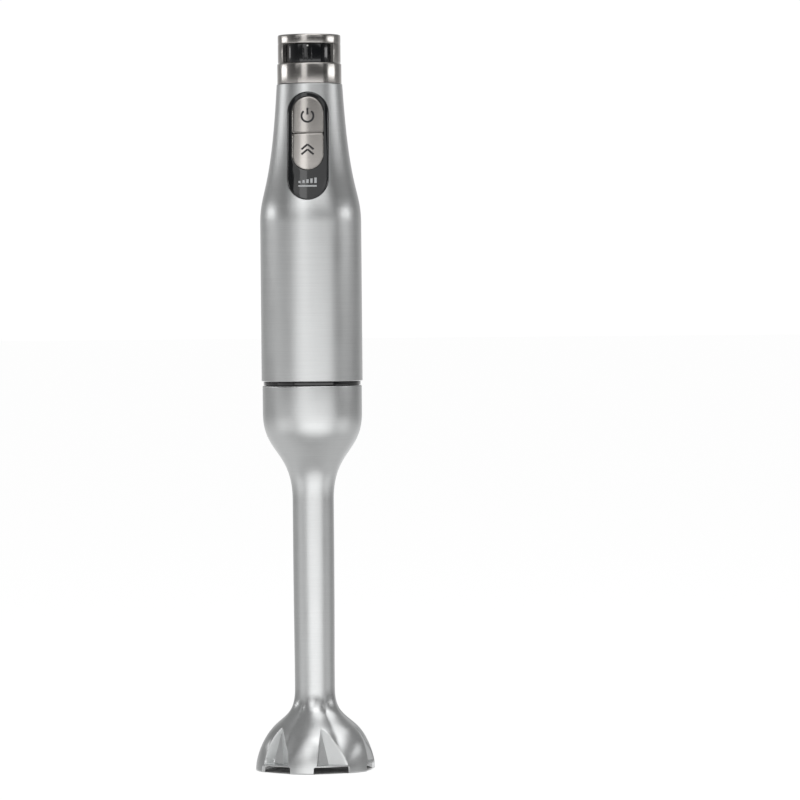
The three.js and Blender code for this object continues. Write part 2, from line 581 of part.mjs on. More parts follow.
function makeNeck() {
  const { r, bore, top, low, lowR } = NECK;
  const seat = NECK_SEAT;
  let body = turned([
    [seat.r, low], [lowR, low], [lowR, FLANGE.low], [FLANGE.r, FLANGE.low], [FLANGE.r, FLANGE.top],
    [r, FLANGE.top], [r, top], [bore, top], [bore, seat.top], [seat.r, seat.top],
  ], SHELL_SIDES);
  const { lead, lugR, lugHalf } = THREAD;
  const lug = threadSector(r - 1, lugR, -lugHalf, lugHalf, THREAD.low, THREAD.high, lead);
  for (const angle of threadAngles) {
    body = join(body, turnedBy(lug, angle));
  }
  addPart('leg_neck', body, 'mattBlack');
  const shaftBore = DRIVE_SHAFT.r + RUNNING_GAP;
  addPart('upper_leg_bush', ring(shaftBore, seat.r - GAP, seat.bushLow, seat.bushHigh), 'brass');
  addPart('upper_shaft_seal', ring(shaftBore, seat.r - GAP, seat.sealLow, seat.sealHigh), 'rubber');
}

// ---------------------------------------------------------------- leg and foot
function makeLeg() {
  const cone = curvePoints(LEG_CONE, CURVE_STEPS);
  const outer = [[LEG.topR, LEG.top], ...cone, [LEG.tubeR, LEG.bottom]];
  const inner = outer.map(([r, z]) => [r - SHEET, z]).reverse();
  addPart('leg_shell', turned([...outer, ...inner], SHELL_SIDES), 'satinSteel');
}

// Angles of the pockets, midway between the ribs. The front rib stands at ribAngle from -Y.
function pocketAngles() {
  const spacing = 360 / FOOT.ribs;
  return Array.from({ length: FOOT.ribs }, (unused, i) => -90 + FOOT.ribAngle + spacing * (i + 0.5));
}

function footPocket() {
  const { depth, innerHalf, reach, outerHalf, low, high } = POCKET;
  const corners = [[depth, -innerHalf], [reach, -outerHalf], [reach, outerHalf], [depth, innerHalf]];
  return plateSolid(new THREE.Shape(corners.map(([x, y]) => new THREE.Vector2(x, y))), low, high);
}

function makeFoot() {
  const { top, cavityR, hubR, hubLow } = FOOT;
  const seat = FOOT_SEAT;
  let body = turned([
    ...curvePoints(BELL, 8), [cavityR, 0], ...curvePoints(CAVITY, COARSE_STEPS),
    [hubR, hubLow], [seat.r, hubLow], [seat.r, FOOT_NECK.low], [FOOT_NECK.bore, FOOT_NECK.low],
    [FOOT_NECK.bore, top],
  ], 36);
  const notch = block([NOTCH.inner, POCKET.reach], [-NOTCH.half, NOTCH.half], [-1, NOTCH.high]);
  for (const angle of pocketAngles()) {
    body = cut(body, turnedBy(footPocket(), angle), turnedBy(notch, angle));
  }
  addPart('foot_bell', body, 'satinSteel');
  const shaftBore = DRIVE_SHAFT.r + RUNNING_GAP;
  addPart('lower_leg_bush', ring(shaftBore, seat.r - GAP, seat.bushLow, seat.bushHigh), 'brass');
  addPart('lower_shaft_seal', ring(shaftBore, seat.r - GAP, hubLow + GAP, seat.sealHigh), 'rubber');
}

// ---------------------------------------------------------------- drive shaft and blade
// One wing of the blade: sharp along its front edge, with a rounded tip.
function bladeWing() {
  const { reach, width, thick } = BLADE;
  const half = width / 2;
  const wing = new THREE.Shape();
  wing.moveTo(0, -half);
  wing.lineTo(reach - 5, -half + 0.5);
  wing.quadraticCurveTo(reach, -half + 1, reach, half - 2.5);
  wing.lineTo(reach - 9, half);
  wing.lineTo(0, half);
  return plateSolid(wing, -thick / 2, thick / 2, 4);
}

function makeBlade() {
  const { thick, z, turn, tiltUp, tiltDown, hubR } = BLADE;
  const clearR = DRIVE_SHAFT.r + GAP;
  addPart('drive_shaft', disc(DRIVE_SHAFT.r, DRIVE_SHAFT.low, DRIVE_SHAFT.top, 24), 'plainSteel');
  const hub = disc(hubR, -thick / 2, thick / 2);
  const up = bladeWing().rotate([0, -tiltUp, 0]);
  const down = turnedBy(bladeWing().rotate([0, tiltDown, 0]), 180);
  const blade = cut(join(hub, up, down), disc(clearR, -5, 5, 24));
  addPart('blade', turnedBy(blade, turn).translate([0, 0, z]), 'plainSteel');

  const collarLow = z + thick / 2 + BLADE_COLLAR.above;
  const collar = ring(clearR, BLADE_COLLAR.r, collarLow, collarLow + BLADE_COLLAR.height);
  addPart('blade_collar', collar, 'plainSteel');
  const { tipR, r, low, shoulder, below } = BLADE_NUT;
  const nutTop = z - thick / 2 - below;
  const nut = turned([[0, low], [tipR, low], [r, shoulder], [r, nutTop], [0, nutTop]], 6);
  addPart('blade_nut', cut(nut, disc(clearR, DRIVE_SHAFT.low - GAP, nutTop + 1, 24)), 'plainSteel');
}

makeSleeve();
makeCollar();
makeChassis();
makeChassisScrews();
makeGland();
makeBezel();
makeButtons();
makeMembrane();
makeBoard();
makeKnob();
makePotentiometer();
makeMotor();
makeBrushes();
makeArmature();
makeFan();
makeDriveCoupling();
makeLegCoupling();
makeSocket();
makeSeam();
makeNeck();
makeLeg();
makeFoot();
makeBlade();

export default group;
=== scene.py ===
import json
import math

import bmesh
import bpy
import numpy as np
from mathutils import Matrix, Vector


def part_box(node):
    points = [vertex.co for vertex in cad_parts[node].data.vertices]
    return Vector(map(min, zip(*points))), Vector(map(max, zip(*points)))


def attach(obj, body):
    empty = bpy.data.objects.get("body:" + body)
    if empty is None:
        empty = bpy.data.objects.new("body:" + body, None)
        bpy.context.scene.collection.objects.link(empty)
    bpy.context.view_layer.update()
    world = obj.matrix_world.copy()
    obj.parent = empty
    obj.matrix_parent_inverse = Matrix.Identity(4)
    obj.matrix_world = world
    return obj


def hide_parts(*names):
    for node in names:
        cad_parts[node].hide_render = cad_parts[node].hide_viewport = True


# Immersion blender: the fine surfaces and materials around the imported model.
# The frame is in metres. Outlines below are in millimetres, +Z up, and the control panel faces -Y.

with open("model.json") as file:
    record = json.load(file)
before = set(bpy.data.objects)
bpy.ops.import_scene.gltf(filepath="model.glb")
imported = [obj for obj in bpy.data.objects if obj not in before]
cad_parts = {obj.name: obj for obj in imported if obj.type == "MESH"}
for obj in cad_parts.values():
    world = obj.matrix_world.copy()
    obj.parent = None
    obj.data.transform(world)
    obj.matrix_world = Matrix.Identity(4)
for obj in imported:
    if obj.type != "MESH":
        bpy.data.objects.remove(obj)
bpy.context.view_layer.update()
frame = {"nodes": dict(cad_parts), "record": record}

MM = 0.001
FINE_SIDES = 192
ON_AXIS = 1e-6


def extent(node):
    """Lowest and highest corner of a CAD node, in millimetres."""
    low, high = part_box(node)
    return np.array(low) / MM, np.array(high) / MM


# ---------------------------------------------------------------- meshes
def add_object(name, data):
    """An object in the scene that holds a mesh, a light or a camera."""
    item = bpy.data.objects.new(name, data)
    bpy.context.scene.collection.objects.link(item)
    return item


def solid_mesh(name, points, faces):
    """A mesh of vertices in millimetres, with its faces turned outwards."""
    mesh = bpy.data.meshes.new(name)
    mesh.from_pydata([tuple(np.asarray(p, float) * MM) for p in points], [], faces)
    mesh.validate()
    shape = bmesh.new()
    shape.from_mesh(mesh)
    bmesh.ops.recalc_face_normals(shape, faces=shape.faces)
    shape.to_mesh(mesh)
    shape.free()
    return mesh


def make_piece(name, points, faces, body, material, replaced=(), slot=None, sharp=38):
    """A mesh object in the frame's place, riding on a body and standing for CAD nodes."""
    mesh = solid_mesh(name, points, faces)
    mesh.materials.append(material)
    piece = add_object(name, mesh)
    smooth(piece, sharp)
    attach(piece, body)
    if replaced:
        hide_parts(*replaced)
    return piece


def smooth(piece, sharp):
    """Shades a piece smooth, apart from edges sharper than an angle in degrees."""
    piece.data.shade_smooth()
    piece.data.set_sharp_from_angle(angle=math.radians(sharp))


def soften(piece, width, segments=3, angle=35):
    """Rounds a piece's sharp edges."""
    bevel = piece.modifiers.new("edges", "BEVEL")
    bevel.width = width * MM
    bevel.segments = segments
    bevel.limit_method = "ANGLE"
    bevel.angle_limit = math.radians(angle)
    bevel.harden_normals = False


def rounded(corners, steps=5):
    """An outline through corners (r, z) or (r, z, fillet); a fillet turns the corner into a curve."""
    outline = []
    count = len(corners)
    for i, corner in enumerate(corners):
        here = np.array(corner[:2], float)
        if len(corner) < 3:
            outline.append(tuple(here))
            continue
        before = np.array(corners[i - 1][:2], float)
        after = np.array(corners[(i + 1) % count][:2], float)
        start = here + corner[2] * unit(before - here)
        end = here + corner[2] * unit(after - here)
        for t in np.linspace(0, 1, steps + 1):
            outline.append(tuple((1 - t) ** 2 * start + 2 * t * (1 - t) * here + t * t * end))
    return outline


def unit(v):
    return v / np.linalg.norm(v)


def bezier(controls, steps):
    """Points (r, z) on a cubic Bezier curve whose controls are (z, r)."""
    p0, p1, p2, p3 = (np.array(c, float)[::-1] for c in controls)
    curve = []
    for t in np.linspace(0, 1, steps + 1):
        s = 1 - t
        curve.append(tuple(s**3 * p0 + 3 * s * s * t * p1 + 3 * s * t * t * p2 + t**3 * p3))
    return curve


def grid_faces(rows, columns, wrap_rows=False):
    """Quads of a grid of vertices stored row by row, whose columns run all the way round."""
    faces = []
    for i in range(rows if wrap_rows else rows - 1):
        for j in range(columns):
            k = (j + 1) % columns
            n = (i + 1) % rows
            faces.append((i * columns + j, i * columns + k, n * columns + k, n * columns + j))
    return faces


def turned(outline, sides=FINE_SIDES):
    """Vertices and faces of a closed outline (r, z) turned about Z. A point on the axis is one vertex."""
    points, rings, faces = [], [], []
    for r, z in outline:
        if r < ON_AXIS:
            rings.append([len(points)] * sides)
            points.append((0, 0, z))
            continue
        rings.append(list(range(len(points), len(points) + sides)))
        for j in range(sides):
            angle = 2 * math.pi * j / sides
            points.append((r * math.cos(angle), r * math.sin(angle), z))
    for i, ring in enumerate(rings):
        other = rings[(i + 1) % len(rings)]
        if ring[0] == ring[1] and other[0] == other[1]:
            continue
        for j in range(sides):
            k = (j + 1) % sides
            corners = (ring[j], ring[k], other[k], other[j])
            faces.append(tuple(dict.fromkeys(corners)))
    return points, faces


def lofted(rings, closed=False, start=None, end=None):
    """Skin over rings of equal length. start and end are points that close it with a fan."""
    columns = len(rings[0])
    points = [p for ring in rings for p in ring]
    faces = grid_faces(len(rings), columns, wrap_rows=closed)
    for tip, row in ((start, 0), (end, len(rings) - 1)):
        if tip is None:
            continue
        points.append(tip)
        first = row * columns
        for j in range(columns):
            faces.append((first + j, first + (j + 1) % columns, len(points) - 1))
    return points, faces


def cut_from(piece, points, faces):
    """Takes a closed shape out of a piece."""
    tool = add_object("tool", solid_mesh("tool", points, faces))
    cutter = piece.modifiers.new("cut", "BOOLEAN")
    cutter.operation = "DIFFERENCE"
    cutter.solver = "EXACT"
    cutter.object = tool
    apply_modifiers(piece)
    bpy.data.objects.remove(tool)


def apply_modifiers(piece):
    """Turns a piece's modifiers into its mesh."""
    graph = bpy.context.evaluated_depsgraph_get()
    graph.update()
    solid = bpy.data.meshes.new_from_object(piece.evaluated_get(graph))
    piece.modifiers.clear()
    piece.data = solid


# ---------------------------------------------------------------- materials
def feed(tree, value, socket):
    """Joins another node's output to a socket, or gives the socket a constant."""
    if hasattr(value, "is_linked"):
        tree.links.new(value, socket)
    else:
        socket.default_value = value


def math_node(tree, operation, *values):
    node = tree.nodes.new("ShaderNodeMath")
    node.operation = operation
    for i, value in enumerate(values):
        feed(tree, value, node.inputs[i])
    return node.outputs[0]


def map_range(tree, value, ends, levels, kind="LINEAR"):
    """Takes a value that runs between two ends to one that runs between two levels."""
    node = tree.nodes.new("ShaderNodeMapRange")
    node.interpolation_type = kind
    for name, number in zip(("From Min", "From Max", "To Min", "To Max"), (*ends, *levels)):
        node.inputs[name].default_value = number
    feed(tree, value, node.inputs["Value"])
    return node.outputs[0]


NOISE_ENDS = (0.3, 0.7)


class Nodes:
    """A material's node tree, with short calls to add and join nodes."""

    def __init__(self, name, color, roughness, metallic=0.0, **sockets):
        self.material = bpy.data.materials.new(name)
        self.material.use_nodes = True
        self.tree = self.material.node_tree
        self.shader = self.tree.nodes["Principled BSDF"]
        self.shader.inputs["Base Color"].default_value = (*color, 1)
        self.shader.inputs["Roughness"].default_value = roughness
        self.shader.inputs["Metallic"].default_value = metallic
        for socket, value in sockets.items():
            self.shader.inputs[socket.replace("_", " ")].default_value = value

    def add(self, kind, **settings):
        node = self.tree.nodes.new("ShaderNode" + kind)
        for name, value in settings.items():
            setattr(node, name, value)
        return node

    def join(self, source, target):
        self.tree.links.new(source, target)

    def math(self, operation, *values):
        return math_node(self.tree, operation, *values)

    def place(self):
        """Coordinates on the object."""
        return self.add("TexCoord").outputs["Object"]

    def scaled(self, vector, scale):
        node = self.add("Mapping")
        self.join(vector, node.inputs["Vector"])
        node.inputs["Scale"].default_value = scale
        return node.outputs[0]

    def around_axis(self, turn, height):
        """Coordinates that run round the Z axis: angle times turn, and height times height."""
        apart = self.add("SeparateXYZ")
        self.join(self.place(), apart.inputs[0])
        angle = self.math("ARCTAN2", apart.outputs[1], apart.outputs[0])
        squares = [self.math("POWER", apart.outputs[i], 2.0) for i in (0, 1)]
        out = self.math("POWER", self.math("ADD", *squares), 0.5)
        merged = self.add("CombineXYZ")
        self.join(self.math("MULTIPLY", angle, turn), merged.inputs[0])
        self.join(self.math("MULTIPLY", out, height), merged.inputs[1])
        self.join(self.math("MULTIPLY", apart.outputs[2], height), merged.inputs[2])
        return merged.outputs[0]

    def noise(self, vector, scale, detail=3.0, rough=0.55):
        node = self.add("TexNoise")
        self.join(vector, node.inputs["Vector"])
        node.inputs["Scale"].default_value = scale
        node.inputs["Detail"].default_value = detail
        node.inputs["Roughness"].default_value = rough
        return node.outputs["Fac"]

    def span(self, noise, low, high):
        """Spreads a noise between two levels."""
        return map_range(self.tree, noise, NOISE_ENDS, (low, high))

    def blend_colors(self, factor, a, b):
        node = self.add("Mix", data_type="RGBA")
        self.join(factor, node.inputs[0])
        node.inputs[6].default_value = (*a, 1)
        node.inputs[7].default_value = (*b, 1)
        return node.outputs[2]

    def bump(self, height, strength, distance):
        node = self.add("Bump")
        self.join(height, node.inputs["Height"])
        node.inputs["Strength"].default_value = strength
        node.inputs["Distance"].default_value = distance * MM
        self.join(node.outputs[0], self.shader.inputs["Normal"])

    def drive(self, socket, source):
        self.join(source, self.shader.inputs[socket])


def shade(color, factor):
    """A colour made brighter or darker."""
    return tuple(min(1.0, c * factor) for c in color)


def brushed_steel(name, color, roughness, contrast=0.06, spread=0.05, lines=2600.0, grain=0.25):
    """Steel with fine lines running round the axis, slow patches in its gloss and faint wiping marks."""
    m = Nodes(name, color, roughness, metallic=1.0, Anisotropic=0.35)
    round_lines = m.noise(m.around_axis(0.9, lines), 1.0, detail=4.0, rough=0.7)
    patches = m.noise(m.place(), 34.0, detail=2.0)
    wiped = m.noise(m.scaled(m.place(), (1.0, 1.0, 0.25)), 120.0, detail=3.0)
    both = m.math("ADD", m.math("MULTIPLY", round_lines, 0.7), m.math("MULTIPLY", wiped, 0.3))
    lines_gloss = m.span(both, roughness - spread, roughness + spread)
    m.drive("Roughness", m.math("ADD", lines_gloss, m.span(patches, -0.02, 0.02)))
    dark, light = shade(color, 1 - contrast), shade(color, 1 + contrast)
    m.drive("Base Color", m.blend_colors(m.span(both, 0.0, 1.0), dark, light))
    m.bump(round_lines, grain, 0.004)
    return m.material


def moulded(name, color, roughness, grain=900.0, strength=0.12):
    """Moulded plastic: a fine spark-eroded grain and a slow change of gloss."""
    m = Nodes(name, color, roughness)
    speckle = m.noise(m.place(), grain, detail=2.0)
    slow = m.noise(m.place(), 40.0, detail=2.0)
    m.drive("Roughness", m.span(slow, roughness - 0.05, roughness + 0.05))
    m.drive("Base Color", m.blend_colors(speckle, shade(color, 0.9), shade(color, 1.1)))
    m.bump(speckle, strength, 0.02)
    return m.material


def polished_black(name):
    """Lacquered black plastic with a slight haze in its gloss."""
    m = Nodes(name, (0.006, 0.0065, 0.0075), 0.09, Coat_Weight=0.6, Coat_Roughness=0.04)
    haze = m.noise(m.place(), 60.0, detail=3.0)
    m.drive("Roughness", m.span(haze, 0.07, 0.14))
    return m.material


def plain_metal(name, color, roughness, scale=300.0):
    """Machined metal with fine tool marks in every direction."""
    m = Nodes(name, color, roughness, metallic=1.0)
    marks = m.noise(m.scaled(m.place(), (1.0, 1.0, 4.0)), scale, detail=4.0)
    m.drive("Roughness", m.span(marks, roughness - 0.08, roughness + 0.08))
    m.drive("Base Color", m.blend_colors(marks, shade(color, 0.85), shade(color, 1.1)))
    m.bump(marks, 0.1, 0.02)
    return m.material


def wound_copper(name):
    """Rows of enamelled wire."""
    m = Nodes(name, (0.55, 0.2, 0.07), 0.3, metallic=1.0, Coat_Weight=0.5, Coat_Roughness=0.1)
    wire = m.add("TexWave", wave_type="BANDS", bands_direction="Z")
    m.join(m.around_axis(0.004, 1.0), wire.inputs["Vector"])
    wire.inputs["Scale"].default_value = 700.0
    wire.inputs["Distortion"].default_value = 1.5
    m.drive("Base Color", m.blend_colors(wire.outputs["Fac"], (0.2, 0.06, 0.02), (0.7, 0.28, 0.1)))
    m.bump(wire.outputs["Fac"], 0.6, 0.15)
    return m.material


def laminate(name):
    """A green circuit board with copper tracks under its mask."""
    m = Nodes(name, (0.01, 0.09, 0.035), 0.35, Coat_Weight=0.4, Coat_Roughness=0.15)
    tracks = m.add("TexBrick", offset=0.35)
    m.join(m.scaled(m.place(), (1.0, 0.0, 1.0)), tracks.inputs["Vector"])
    tracks.inputs["Scale"].default_value = 260.0
    tracks.inputs["Mortar Size"].default_value = 0.05
    tracks.inputs["Color1"].default_value = (0.008, 0.08, 0.03, 1)
    tracks.inputs["Color2"].default_value = (0.012, 0.11, 0.045, 1)
    tracks.inputs["Mortar"].default_value = (0.05, 0.2, 0.08, 1)
    m.drive("Base Color", tracks.outputs["Color"])
    m.bump(tracks.outputs["Fac"], 0.2, 0.03)
    return m.material


def printed(name, color, roughness=0.45):
    """Screen-printed ink."""
    m = Nodes(name, color, roughness)
    speckle = m.noise(m.place(), 1500.0, detail=2.0)
    m.drive("Base Color", m.blend_colors(speckle, shade(color, 0.92), shade(color, 1.08)))
    return m.material


MATERIALS = {
    "satin_steel": brushed_steel("satin_steel", (0.66, 0.67, 0.67), 0.34),
    "warm_steel": brushed_steel("warm_steel", (0.52, 0.5, 0.48), 0.19, contrast=0.1, lines=3400.0),
    "plain_steel": plain_metal("plain_steel", (0.5, 0.51, 0.52), 0.32),
    "gloss_black": polished_black("gloss_black"),
    "matt_black": moulded("matt_black", (0.02, 0.02, 0.021), 0.5),
    "grey_plastic": moulded("grey_plastic", (0.1, 0.105, 0.11), 0.5),
    "white_plastic": moulded("white_plastic", (0.68, 0.66, 0.6), 0.45),
    "rubber": moulded("rubber", (0.014, 0.014, 0.014), 0.75, grain=500.0, strength=0.25),
    "copper": wound_copper("copper"),
    "brass": plain_metal("brass", (0.6, 0.42, 0.16), 0.3),
    "ferrite": moulded("ferrite", (0.045, 0.045, 0.05), 0.6, strength=0.3),
    "carbon": moulded("carbon", (0.02, 0.02, 0.02), 0.4),
    "circuit_board": laminate("circuit_board"),
}
KEY_STEEL = brushed_steel("key_steel", (0.44, 0.42, 0.4), 0.22, contrast=0.1, lines=3400.0)
BLACK_INK = printed("black_ink", (0.012, 0.012, 0.013))
GREY_INK = printed("grey_ink", (0.42, 0.43, 0.44))
WHITE_INK = printed("white_ink", (0.8, 0.8, 0.78))

for part in frame["record"]["subparts"]:
    node = frame["nodes"][part["node"]]
    node.data.materials.clear()
    node.data.materials.append(MATERIALS[part["material_slot"]])

# ---------------------------------------------------------------- handle sleeve
sleeve_low, sleeve_high = extent("handle_sleeve")
SLEEVE_R = sleeve_high[0]
SLEEVE_TOP_R = 18.3
SHOULDER = [(304.6, SLEEVE_R), (324.9, SLEEVE_R), (319.8, 22.0), (sleeve_high[2], SLEEVE_TOP_R)]
SHEET = 0.9
LOWER_EDGE = (0.25, 0.3)
UPPER_EDGE = 0.2
shoulder_curve = bezier(SHOULDER, 60)
SHOULDER_Z = [z for r, z in shoulder_curve]
SHOULDER_R = [r for r, z in shoulder_curve]


def sleeve_radius(z):
    """The sleeve's outer radius at a height."""
    return float(np.interp(z, SHOULDER_Z, SHOULDER_R))


def on_sleeve(x, z, lift):
    """The point of the sleeve's front at x and height z, lifted off its surface."""
    reach = sleeve_radius(z) + lift
    return (x, -math.sqrt(max(reach * reach - x * x, 0.0)), z)


def stadium(half, low, high, arc=40, side=24):
    """An upright stadium's outline (x, z), counterclockwise, with the same count for every size."""
    points = []
    for t in range(side):
        points.append((half, low + half + (high - low - 2 * half) * t / side))
    for t in range(arc):
        angle = math.pi * t / arc
        points.append((half * math.cos(angle), high - half + half * math.sin(angle)))
    for t in range(side):
        points.append((-half, high - half - (high - low - 2 * half) * t / side))
    for t in range(arc):
        angle = math.pi * (1 + t / arc)
        points.append((half * math.cos(angle), low + half + half * math.sin(angle)))
    return points


bezel_low, bezel_high = extent("control_bezel")
power_low, power_high = extent("power_button")
turbo_low, turbo_high = extent("turbo_button")
# Upright stadiums on the sleeve's front: half width, lowest and highest point. Offsets from the sleeve's
# surface (LIFT, SEAT and REAR) are positive outwards.
BEZEL = (bezel_high[0], bezel_low[2], bezel_high[2])
KEY_TRIM = 0.15
KEYS = (power_high[0] - KEY_TRIM, turbo_low[2] + KEY_TRIM, power_high[2] - KEY_TRIM)
KEY_SPLIT = (power_low[2] + turbo_high[2]) / 2
KEY_HALF_SPLIT = 0.16
KEY_GAP = 0.18
PANEL_GAP = 0.15
PANEL_CUT = (-60, -3)


def grown(outline, by):
    """A stadium made larger all round."""
    half, low, high = outline
    return (half + by, low - by, high + by)


def straight_cut(outline, near, far):
    """A stadium prism along Y."""
    rings = [[(x, y, z) for x, z in stadium(*outline)] for y in (near, far)]
    middle = (outline[1] + outline[2]) / 2
    return lofted(rings, start=(0, near, middle), end=(0, far, middle))


def round_cut(r, z, near, far, sides=64):
    """A cylinder along Y at height z."""
    turn = [2 * math.pi * j / sides for j in range(sides)]
    rings = [[(r * math.cos(a), y, z + r * math.sin(a)) for a in turn] for y in (near, far)]
    return lofted(rings, start=(0, near, z), end=(0, far, z))


gland_low, gland_high = extent("cord_gland")
GLAND_Z = (gland_low[2] + gland_high[2]) / 2
GLAND_R = 4.6
GLAND_BORE = 3.4
GLAND_FLANGE = (2, 2.4)
GLAND_GAP = 0.2
GLAND_CUT = (5, 60)


def make_sleeve():
    z = sleeve_low[2]
    top = sleeve_high[2]
    outer = [(SLEEVE_R - LOWER_EDGE[0], z), (SLEEVE_R, z + LOWER_EDGE[1]), *shoulder_curve[:-1],
             (SLEEVE_TOP_R, top - UPPER_EDGE), (SLEEVE_TOP_R - UPPER_EDGE, top)]
    inner = [(r - SHEET, h) for r, h in reversed(shoulder_curve)]
    outline = [*outer, *inner, (SLEEVE_R - SHEET, z)]
    piece = make_piece("sleeve", *turned(outline), "handle", MATERIALS["satin_steel"],
                       ["handle_sleeve"], "satin_steel")
    cut_from(piece, *straight_cut(grown(BEZEL, PANEL_GAP), *PANEL_CUT))
    cut_from(piece, *round_cut(GLAND_R + GLAND_GAP, GLAND_Z, *GLAND_CUT))
    smooth(piece, 30)


# ---------------------------------------------------------------- control panel
def ring_on_sleeve(outline, lift):
    """A stadium drawn on the sleeve's front, lifted off it."""
    return [on_sleeve(x, z, lift) for x, z in stadium(*outline)]


def fillet_steps(count=5):
    """Pairs (inset, rise) of a quarter circle, from its foot to its top, as shares of its radius."""
    turns = [math.pi / 2 * i / count for i in range(count + 1)]
    return [(1 - math.cos(a), math.sin(a)) for a in turns]


BEZEL_LIFT = 0.5
BEZEL_SEAT = -1.4
BEZEL_REAR = -3.8
BEZEL_WALL = 1.6


def between_points(a, b, share):
    return (a[0] + share * (b[0] - a[0]), a[1] + share * (b[1] - a[1]))


def make_bezel():
    edge, lip = 0.7, 0.3
    opening = grown(KEYS, KEY_GAP)
    rings = [ring_on_sleeve(BEZEL, BEZEL_SEAT)]
    for inset, rise in fillet_steps():
        rings.append(ring_on_sleeve(grown(BEZEL, -edge * inset), BEZEL_LIFT - edge * (1 - rise)))
    outer = stadium(*grown(BEZEL, -edge))
    inner = stadium(*grown(opening, lip))
    for share in np.linspace(0, 1, 12)[1:]:
        between = [between_points(a, b, share) for a, b in zip(outer, inner)]
        rings.append([on_sleeve(x, z, BEZEL_LIFT) for x, z in between])
    for inset, rise in list(reversed(fillet_steps()))[1:]:
        rings.append(ring_on_sleeve(grown(opening, lip * inset), BEZEL_LIFT - lip * (1 - rise)))
    rings.append(ring_on_sleeve(opening, BEZEL_REAR))
    rings.append(ring_on_sleeve(grown(KEYS, BEZEL_WALL), BEZEL_REAR))
    rings.append(ring_on_sleeve(grown(KEYS, BEZEL_WALL), BEZEL_SEAT))
    make_piece("bezel", *lofted(rings, closed=True), "handle", MATERIALS["gloss_black"],
               ["control_bezel"], "gloss_black", sharp=50)


KEY_LIFT = 0.85
KEY_REAR = -1.2
STEM_R = 1.6
STEM_FRONT = 0.3
STEM_REAR = 1.5


def key_outline(inset, upper, arc=56, side=14, across=28):
    """A key's outline (x, z): half a stadium, closed by a straight edge at the split."""
    half = KEYS[0] - inset
    way = 1 if upper else -1
    centre = (KEYS[2] - KEYS[0]) if upper else (KEYS[1] + KEYS[0])
    split = KEY_SPLIT + way * (KEY_HALF_SPLIT + inset)
    corner = 0.5
    points = []
    for t in range(side):
        points.append((half, split + way * corner + (centre - split - way * corner) * t / side))
    for t in range(arc):
        angle = math.pi * t / arc
        points.append((half * math.cos(angle), centre + way * half * math.sin(angle)))
    for t in range(side + 1):
        points.append((-half, centre - (centre - split - way * corner) * t / side))
    for t in range(across + 1):
        points.append(((half - corner) * (2 * t / across - 1), split))
    points.append((half, split + way * corner))
    return points[:-1]


def make_key(name, body, upper):
    edge = 0.45
    foot = key_outline(0, upper)
    middle = sum(z for x, z in foot) / len(foot)
    rings = [[on_sleeve(x, z, KEY_REAR) for x, z in foot]]
    for inset, rise in fillet_steps():
        outline = key_outline(edge * inset, upper)
        rings.append([on_sleeve(x, z, KEY_LIFT - edge * (1 - rise)) for x, z in outline])
    rim = key_outline(edge, upper)
    for share in np.linspace(1, 0.02, 16)[1:]:
        scaled = [(share * x, middle + share * (z - middle)) for x, z in rim]
        rings.append([on_sleeve(x, z, KEY_LIFT) for x, z in scaled])
    closed = lofted(rings, start=on_sleeve(0, middle, KEY_REAR), end=on_sleeve(0, middle, KEY_LIFT))
    make_piece(name + "_cap", *closed, body, KEY_STEEL, [name], "warm_steel", sharp=50)


def make_stem(name, body, z):
    """The post behind a key, which reaches its switch."""
    low = extent("power_switch")[0][1]
    front = -sleeve_radius(z) - KEY_REAR - STEM_FRONT
    points, faces = round_cut(STEM_R, z, front, low - STEM_REAR, sides=32)
    make_piece(name, points, faces, body, MATERIALS["matt_black"], slot="matt_black")


# ---------------------------------------------------------------- printed marks
def ribbon(route, width, lift, thick=0.06):
    """A thin printed line along a route (x, z) on the sleeve's front."""
    rings = []
    for i, here in enumerate(route):
        here = np.array(here, float)
        ahead = np.array(route[min(i + 1, len(route) - 1)], float)
        behind = np.array(route[max(i - 1, 0)], float)
        side = unit(ahead - behind)[::-1] * np.array([-1, 1]) * width / 2
        left, right = here + side, here - side
        rings.append([
            on_sleeve(*left, lift), on_sleeve(*right, lift),
            on_sleeve(*right, lift - thick), on_sleeve(*left, lift - thick),
        ])
    points, faces = lofted(rings)
    last = len(points)
    faces += [(3, 2, 1, 0), (last - 4, last - 3, last - 2, last - 1)]
    return points, faces


def merged(shapes):
    """Several shapes as one list of vertices and faces."""
    points, faces = [], []
    for some_points, some_faces in shapes:
        base = len(points)
        points += list(some_points)
        faces += [tuple(base + k for k in face) for face in some_faces]
    return points, faces


def dense(a, b, steps=8):
    """Points along a straight line, close enough together to follow the sleeve."""
    return [(a[0] + (b[0] - a[0]) * t / steps, a[1] + (b[1] - a[1]) * t / steps) for t in range(steps + 1)]


POWER_Z = 363.9
CHEVRON_Z = 345.6
LABEL_Z = 327.0
INK_LIFT = 0.04
LABEL_INK_LIFT = 0.03


def make_power_mark():
    """An open ring with an upright bar in its opening."""
    r, line, lift = 3.3, 1.1, KEY_LIFT + INK_LIFT
    opening, rise, bar_low, bar_high = 38, 0.4, 1.1, 4.9
    angles = [math.radians(90 + opening + (360 - 2 * opening) * t / 60) for t in range(61)]
    loop = ribbon([(r * math.cos(a), POWER_Z + rise + r * math.sin(a)) for a in angles], line, lift)
    bar = ribbon(dense((0, POWER_Z + bar_low), (0, POWER_Z + bar_high)), line, lift)
    make_piece("power_mark", *merged([loop, bar]), "power_key", BLACK_INK)


